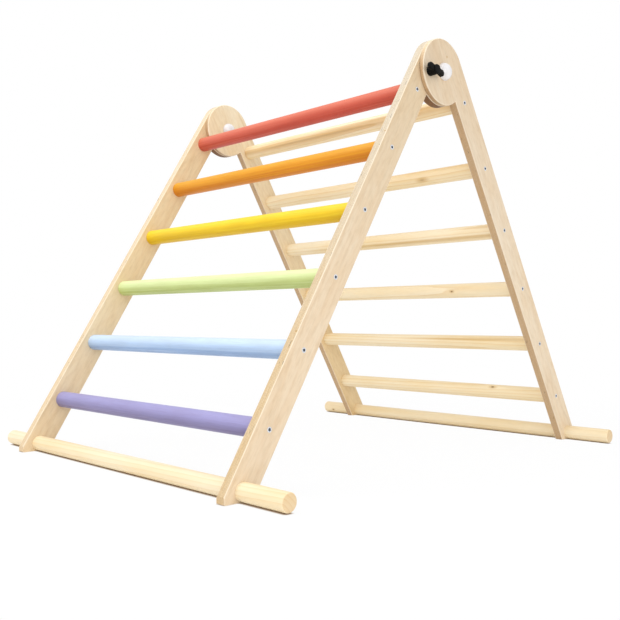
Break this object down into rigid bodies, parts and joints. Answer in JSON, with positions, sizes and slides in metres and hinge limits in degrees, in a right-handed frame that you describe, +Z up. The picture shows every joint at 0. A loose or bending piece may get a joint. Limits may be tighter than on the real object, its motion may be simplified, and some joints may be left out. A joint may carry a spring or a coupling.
{
  "type": "folding climbing triangle",
  "caption": "A-shaped folding climbing frame for small children: two plywood ladders with round rungs, painted in front and bare behind, turn on round heads and are clamped by a wing knob.",
  "frame": {"origin": "on the floor, under the middle of the open triangle", "axes": "+X along the rungs towards the head with the wing knob, +Y towards the rear frame with the bare rungs, +Z up"},
  "size_m": [0.8694, 1.0162, 0.7928],
  "materials": {
    "birch_plywood": "sanded birch plywood with clear matt lacquer",
    "pine": "turned pine with clear matt lacquer",
    "paint_red": "satin red paint on wood",
    "paint_orange": "satin orange paint on wood",
    "paint_yellow": "satin yellow paint on wood",
    "paint_green": "satin light green paint on wood",
    "paint_blue": "satin light blue paint on wood",
    "paint_purple": "satin lavender paint on wood",
    "white_cap": "smooth white plastic",
    "nylon": "plain nylon",
    "black_knob": "fine-grained black plastic",
    "brass": "plain brass",
    "zinc_steel": "bright zinc-plated steel"
  },
  "bodies": {
    "front_frame": {"front_upright_near": "birch_plywood", "front_upright_far": "birch_plywood", "rung_red": "paint_red", "rung_orange": "paint_orange", "rung_yellow": "paint_yellow", "rung_green": "paint_green", "rung_blue": "paint_blue", "rung_purple": "paint_purple", "front_bar": "pine", "front_screws_near": "zinc_steel", "front_screws_far": "zinc_steel", "pivot_bolt_near": "zinc_steel", "pivot_bolt_far": "zinc_steel", "pivot_nut_near": "zinc_steel", "pivot_nut_far": "zinc_steel", "pivot_washers": "zinc_steel", "head_spacers": "nylon", "cap_near_outer": "white_cap", "cap_near_inner": "white_cap", "cap_far_inner": "white_cap", "cap_far_outer": "white_cap"},
    "rear_frame": {"rear_upright_near": "birch_plywood", "rear_upright_far": "birch_plywood", "rear_rung_1": "pine", "rear_rung_2": "pine", "rear_rung_3": "pine", "rear_rung_4": "pine", "rear_rung_5": "pine", "rear_rung_6": "pine", "rear_bar": "pine", "rear_screws_near": "zinc_steel", "rear_screws_far": "zinc_steel", "lock_bolt": "zinc_steel", "lock_washer": "zinc_steel"},
    "knob": {"lock_knob": "black_knob", "knob_insert": "brass"}
  },
  "joints": [
    {"name": "fold", "type": "hinge", "parent": "front_frame", "child": "rear_frame", "pos_m": [0, 0, 0.73084], "axis": [-1, 0, 0], "range_deg": [0, 62.4]},
    {"name": "lock_turn", "type": "hinge", "parent": "rear_frame", "child": "knob", "pos_m": [0.343, -0.04448, 0.72224], "axis": [1, 0, 0], "range_deg": [0, 360]}
  ]
}
